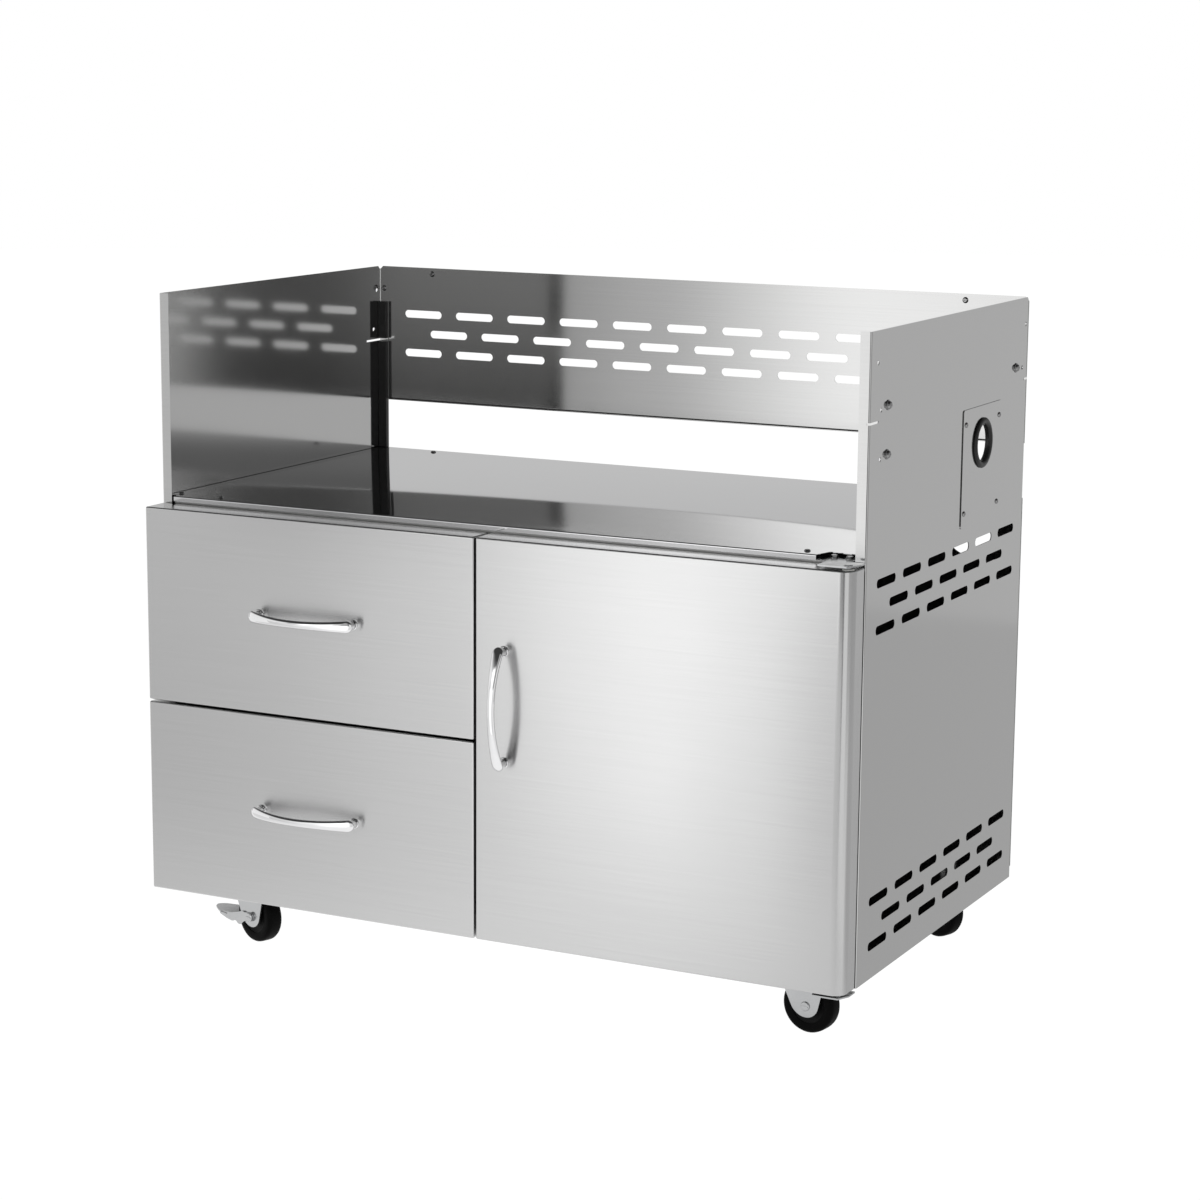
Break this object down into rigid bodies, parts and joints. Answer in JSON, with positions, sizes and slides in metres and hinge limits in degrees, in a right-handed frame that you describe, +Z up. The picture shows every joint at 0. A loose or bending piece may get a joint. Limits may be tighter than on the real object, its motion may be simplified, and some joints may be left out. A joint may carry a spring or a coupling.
{
  "type": "grill cart with storage",
  "caption": "Stainless steel outdoor kitchen cart on swivel casters: an open well for a built-in grill over drawers and a cupboard with a hinged door.",
  "frame": {"origin": "middle of the floor under the cart, with the wheels standing on it", "axes": "+X to the cart's right as one faces its doors, +Y to the back, +Z up"},
  "size_m": [1.0636, 0.676, 0.914],
  "materials": {
    "brushed_panel": "fine brushed stainless steel",
    "front_steel": "satin stainless steel, brushed lengthwise",
    "polished_deck": "smooth bright rolled stainless steel",
    "inner_steel": "plain mill-finish sheet",
    "zinc_plate": "bright zinc-plated steel",
    "screw_steel": "plain stainless steel",
    "handle_chrome": "polished chrome plate",
    "grommet_rubber": "satin black rubber",
    "tread_rubber": "black rubber tread",
    "hub_plastic": "black moulded plastic",
    "bush_nylon": "natural nylon",
    "catch_plastic": "black plastic with steel poles"
  },
  "bodies": {
    "root": {"side_panel_left": "brushed_panel", "side_panel_right": "brushed_panel", "upper_back_panel": "brushed_panel", "lower_back_panel": "inner_steel", "deck": "polished_deck", "front_rail": "inner_steel", "rear_rail": "inner_steel", "base_pan": "inner_steel", "centre_divider": "inner_steel", "slide_posts": "inner_steel", "hinge_plate_top": "zinc_plate", "hinge_plate_bottom": "zinc_plate", "hinge_pins": "zinc_plate", "hinge_plate_bolts": "zinc_plate", "door_catch": "catch_plastic", "access_plate": "brushed_panel", "access_grommet": "grommet_rubber", "panel_screws": "screw_steel", "bracket_bolts": "screw_steel", "caster_bolts": "zinc_plate", "caster_bases": "zinc_plate", "slide_outer_members": "zinc_plate"},
    "door": {"door_skin": "front_steel", "door_liner": "inner_steel", "door_strike": "zinc_plate", "hinge_bushes": "bush_nylon", "door_handle": "handle_chrome", "door_handle_fixings": "handle_chrome"},
    "upper_drawer": {"upper_drawer_front": "front_steel", "upper_drawer_liner": "inner_steel", "upper_drawer_box": "inner_steel", "upper_drawer_handle": "handle_chrome", "upper_handle_fixings": "handle_chrome", "upper_slide_inner": "zinc_plate"},
    "upper_slide_member": {"upper_slide_middle": "zinc_plate"},
    "lower_drawer": {"lower_drawer_front": "front_steel", "lower_drawer_liner": "inner_steel", "lower_drawer_box": "inner_steel", "lower_drawer_handle": "handle_chrome", "lower_handle_fixings": "handle_chrome", "lower_slide_inner": "zinc_plate"},
    "lower_slide_member": {"lower_slide_middle": "zinc_plate"},
    "front_left_swivel": {"front_left_fork": "zinc_plate", "front_left_axle": "zinc_plate"},
    "front_left_wheel": {"front_left_tyre": "tread_rubber", "front_left_hub": "hub_plastic"},
    "front_left_brake": {"front_left_brake_pedal": "zinc_plate"},
    "front_right_swivel": {"front_right_fork": "zinc_plate", "front_right_axle": "zinc_plate"},
    "front_right_wheel": {"front_right_tyre": "tread_rubber", "front_right_hub": "hub_plastic"},
    "rear_left_swivel": {"rear_left_fork": "zinc_plate", "rear_left_axle": "zinc_plate"},
    "rear_left_wheel": {"rear_left_tyre": "tread_rubber", "rear_left_hub": "hub_plastic"},
    "rear_left_brake": {"rear_left_brake_pedal": "zinc_plate"},
    "rear_right_swivel": {"rear_right_fork": "zinc_plate", "rear_right_axle": "zinc_plate"},
    "rear_right_wheel": {"rear_right_tyre": "tread_rubber", "rear_right_hub": "hub_plastic"}
  },
  "joints": [
    {"name": "door_hinge", "type": "hinge", "parent": "root", "child": "door", "pos_m": [0.515, -0.28, 0.349], "axis": [0, 0, 1], "range_deg": [0, 110]},
    {"name": "upper_drawer_slide", "type": "slide", "parent": "root", "child": "upper_drawer", "axis": [0, -1, 0], "range_m": [0, 0.45]},
    {"name": "upper_member_slide", "type": "slide", "parent": "root", "child": "upper_slide_member", "axis": [0, -1, 0], "range_m": [0, 0.225]},
    {"name": "lower_drawer_slide", "type": "slide", "parent": "root", "child": "lower_drawer", "axis": [0, -1, 0], "range_m": [0, 0.45]},
    {"name": "lower_member_slide", "type": "slide", "parent": "root", "child": "lower_slide_member", "axis": [0, -1, 0], "range_m": [0, 0.225]},
    {"name": "front_left_swivel_turn", "type": "hinge", "parent": "root", "child": "front_left_swivel", "pos_m": [-0.422, -0.22, 0.086], "axis": [0, 0, 1], "continuous": true},
    {"name": "front_left_wheel_spin", "type": "hinge", "parent": "front_left_swivel", "child": "front_left_wheel", "pos_m": [-0.39005, -0.23163, 0.0375], "axis": [0.342, 0.9397, 0], "continuous": true},
    {"name": "front_left_brake_press", "type": "hinge", "parent": "front_left_swivel", "child": "front_left_brake", "pos_m": [-0.39005, -0.23163, 0.0375], "axis": [-0.342, -0.9397, 0], "range_deg": [0, 12]},
    {"name": "front_right_swivel_turn", "type": "hinge", "parent": "root", "child": "front_right_swivel", "pos_m": [0.422, -0.22, 0.086], "axis": [0, 0, 1], "continuous": true},
    {"name": "front_right_wheel_spin", "type": "hinge", "parent": "front_right_swivel", "child": "front_right_wheel", "pos_m": [0.45567, -0.22473, 0.0375], "axis": [0.1392, 0.9903, 0], "continuous": true},
    {"name": "rear_left_swivel_turn", "type": "hinge", "parent": "root", "child": "rear_left_swivel", "pos_m": [-0.422, 0.263, 0.086], "axis": [0, 0, 1], "continuous": true},
    {"name": "rear_left_wheel_spin", "type": "hinge", "parent": "rear_left_swivel", "child": "rear_left_wheel", "pos_m": [-0.38916, 0.2718, 0.0375], "axis": [-0.2588, 0.9659, 0], "continuous": true},
    {"name": "rear_left_brake_press", "type": "hinge", "parent": "rear_left_swivel", "child": "rear_left_brake", "pos_m": [-0.38916, 0.2718, 0.0375], "axis": [0.2588, -0.9659, 0], "range_deg": [0, 12]},
    {"name": "rear_right_swivel_turn", "type": "hinge", "parent": "root", "child": "rear_right_swivel", "pos_m": [0.422, 0.263, 0.086], "axis": [0, 0, 1], "continuous": true},
    {"name": "rear_right_wheel_spin", "type": "hinge", "parent": "rear_right_swivel", "child": "rear_right_wheel", "pos_m": [0.45352, 0.25026, 0.0375], "axis": [0.3746, 0.9272, 0], "continuous": true}
  ],
  "couplings": [
    {"joint": "upper_member_slide", "follows": "upper_drawer_slide", "ratio": 0.5},
    {"joint": "lower_member_slide", "follows": "lower_drawer_slide", "ratio": 0.5}
  ]
}
